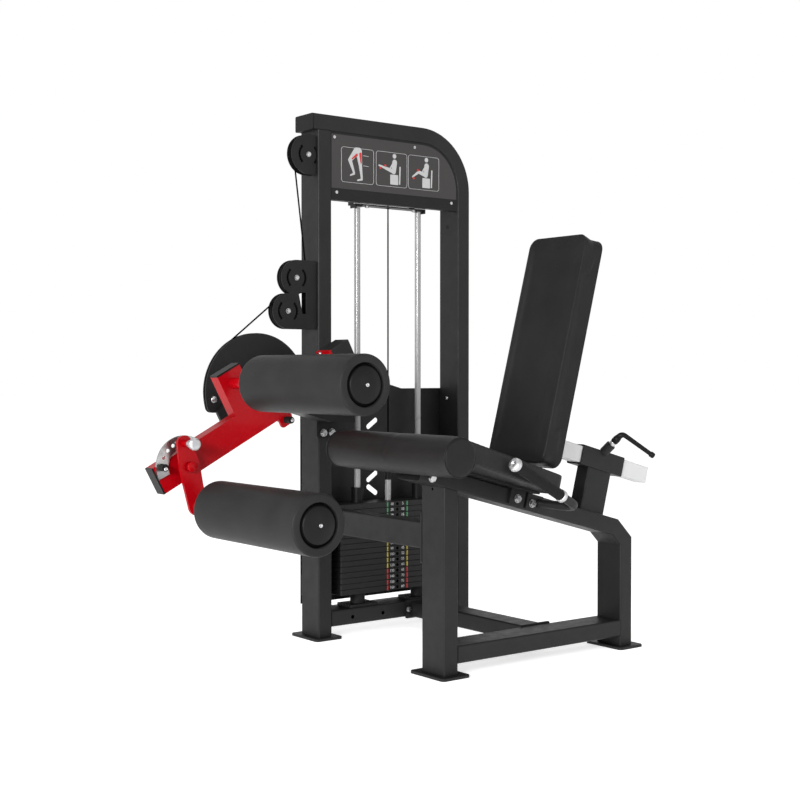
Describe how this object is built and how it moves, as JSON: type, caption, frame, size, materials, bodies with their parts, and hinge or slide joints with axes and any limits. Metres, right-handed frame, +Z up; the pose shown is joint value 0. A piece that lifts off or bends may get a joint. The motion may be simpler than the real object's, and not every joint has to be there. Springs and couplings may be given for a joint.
{
  "type": "seated leg curl machine",
  "caption": "Seated leg curl: weight-stack tower, sloping seat frame, sliding backrest and a pivoting lever with foam rollers that lifts the stack by cable.",
  "frame": {"origin": "middle of the machine's bounding box, on the floor", "axes": "+Z up; +X from the user's feet towards the backrest; +Y from the user's right towards the tower"},
  "size_m": [1.4895, 1.002, 1.644],
  "materials": {
    "black_frame": "fine-textured black powder coat",
    "red_paint": "gloss red powder coat",
    "silver_paint": "light silver powder coat",
    "chrome": "polished chrome",
    "zinc": "bright zinc",
    "machined": "machined steel",
    "aluminium": "turned aluminium",
    "cast_plates": "black painted cast iron",
    "pulley_nylon": "black moulded nylon",
    "cap_plastic": "black moulded plastic",
    "clamp_plastic": "black moulded plastic",
    "cable_jacket": "black nylon jacket",
    "grip_rubber": "moulded rubber",
    "bumper_rubber": "moulded rubber",
    "upholstery": "black upholstery vinyl",
    "roller_foam": "black skinned foam",
    "sign_metal": "black powder coat",
    "shroud": "black powder coat"
  },
  "bodies": {
    "frame": {"back_support_post": "black_frame", "foot_plates": "black_frame", "frame_bolts": "zinc", "front_post": "black_frame", "guide_cable": "cable_jacket", "guide_rods": "chrome", "handle_ends": "aluminium", "handle_grips": "grip_rubber", "idler_bracket": "black_frame", "lower_beam": "black_frame", "lower_cross_beam": "black_frame", "pivot_bearings": "machined", "pivot_bracket": "black_frame", "rear_post": "black_frame", "rear_shroud": "shroud", "resting_plates": "cast_plates", "rod_top_channel": "black_frame", "seat_beam": "black_frame", "seat_handles": "black_frame", "seat_mount": "black_frame", "seat_pad": "upholstery", "sign_panel": "sign_metal", "slide_sleeve": "black_frame", "stack_bumpers": "bumper_rubber", "stack_pulley_bracket": "black_frame", "top_pulley_bracket": "black_frame", "tower_base_beam": "black_frame", "tower_bent_tube": "black_frame", "tower_upright": "black_frame", "tube_end_caps": "cap_plastic", "upper_cross_beam": "black_frame"},
    "carriage": {"top_plate": "cast_plates", "lifted_plates": "cast_plates", "selector_stem": "chrome", "stack_fittings": "cap_plastic", "stack_cable": "cable_jacket"},
    "selector": {"selector_pin": "zinc"},
    "lower_idler": {"lower_idler_pulley": "pulley_nylon"},
    "upper_idler": {"upper_idler_pulley": "pulley_nylon"},
    "top_wheel": {"top_pulley": "pulley_nylon"},
    "stack_wheel": {"stack_pulley": "pulley_nylon"},
    "cam": {"cam": "black_frame", "pivot_shaft": "machined", "index_plate": "machined", "cam_cable": "cable_jacket"},
    "lever": {"lever_arm": "red_paint", "arm_end_caps": "cap_plastic", "counterweight": "cast_plates", "arm_bumpers": "bumper_rubber", "ankle_index_plate": "black_frame"},
    "start_knob": {"start_pin": "zinc"},
    "thigh_roller": {"thigh_roller": "roller_foam", "thigh_roller_caps": "cap_plastic"},
    "ankle_arm": {"ankle_arm": "red_paint"},
    "ankle_knob": {"ankle_pin": "zinc"},
    "ankle_roller": {"ankle_roller": "roller_foam", "ankle_roller_caps": "cap_plastic"},
    "backrest": {"back_pad": "upholstery", "slide_tube": "silver_paint"},
    "clamp": {"clamp_lever": "clamp_plastic"}
  },
  "joints": [
    {"name": "curl", "type": "hinge", "parent": "frame", "child": "cam", "pos_m": [-0.2782, 0.318, 0.78], "axis": [0, -1, 0], "range_deg": [0, 60]},
    {"name": "stack_lift", "type": "slide", "parent": "frame", "child": "carriage", "axis": [0, 0, 1], "range_m": [0, 0.184], "deforming": ["stack_cable"]},
    {"name": "lower_idler_spin", "type": "hinge", "parent": "frame", "child": "lower_idler", "pos_m": [-0.1712, 0.3985, 1.0275], "axis": [0, -1, 0], "range_deg": [0, 227]},
    {"name": "upper_idler_spin", "type": "hinge", "parent": "frame", "child": "upper_idler", "pos_m": [-0.1397, 0.3985, 1.131], "axis": [0, -1, 0], "range_deg": [-227, 0]},
    {"name": "top_pulley_spin", "type": "hinge", "parent": "frame", "child": "top_wheel", "pos_m": [-0.0952, 0.3985, 1.5145], "axis": [0, -1, 0], "range_deg": [0, 227]},
    {"name": "stack_pulley_spin", "type": "hinge", "parent": "frame", "child": "stack_wheel", "pos_m": [0.19753, 0.42137, 1.5145], "axis": [0.0995, -0.995, 0], "range_deg": [0, 227]},
    {"name": "selector_pull", "type": "slide", "parent": "carriage", "child": "selector", "axis": [0, -1, 0], "range_m": [0, 0.06]},
    {"name": "start_adjust", "type": "hinge", "parent": "cam", "child": "lever", "pos_m": [-0.2782, 0.193, 0.78], "axis": [0, 1, 0], "range_deg": [0, 45]},
    {"name": "start_pull", "type": "slide", "parent": "lever", "child": "start_knob", "axis": [0, -1, 0], "range_m": [0, 0.012], "stiffness_N_per_m": 400, "springref_m": -0.004},
    {"name": "thigh_roller_spin", "type": "hinge", "parent": "lever", "child": "thigh_roller", "pos_m": [-0.48719, -0.215, 0.809], "axis": [0, -1, 0], "continuous": true},
    {"name": "ankle_adjust", "type": "hinge", "parent": "lever", "child": "ankle_arm", "pos_m": [-0.64918, 0.148, 0.58308], "axis": [0, -1, 0], "range_deg": [-39, 35]},
    {"name": "ankle_pull", "type": "slide", "parent": "ankle_arm", "child": "ankle_knob", "axis": [0, -1, 0], "range_m": [0, 0.012], "stiffness_N_per_m": 400, "springref_m": -0.004},
    {"name": "ankle_roller_spin", "type": "hinge", "parent": "ankle_arm", "child": "ankle_roller", "pos_m": [-0.6247, -0.215, 0.474], "axis": [0, -1, 0], "continuous": true},
    {"name": "back_slide", "type": "slide", "parent": "frame", "child": "backrest", "axis": [0.9659, 0, -0.2588], "range_m": [-0.09, 0.11]},
    {"name": "clamp_turn", "type": "hinge", "parent": "frame", "child": "clamp", "pos_m": [0.54702, -0.262, 0.60105], "axis": [0.183, -0.7071, 0.683], "range_deg": [-60, 60]}
  ],
  "couplings": [
    {"joint": "stack_lift", "follows": "curl", "m_per_rad": 0.1752},
    {"joint": "lower_idler_spin", "follows": "curl", "ratio": 3.7677},
    {"joint": "upper_idler_spin", "follows": "curl", "ratio": -3.7677},
    {"joint": "top_pulley_spin", "follows": "curl", "ratio": 3.7677},
    {"joint": "stack_pulley_spin", "follows": "curl", "ratio": 3.7677}
  ]
}
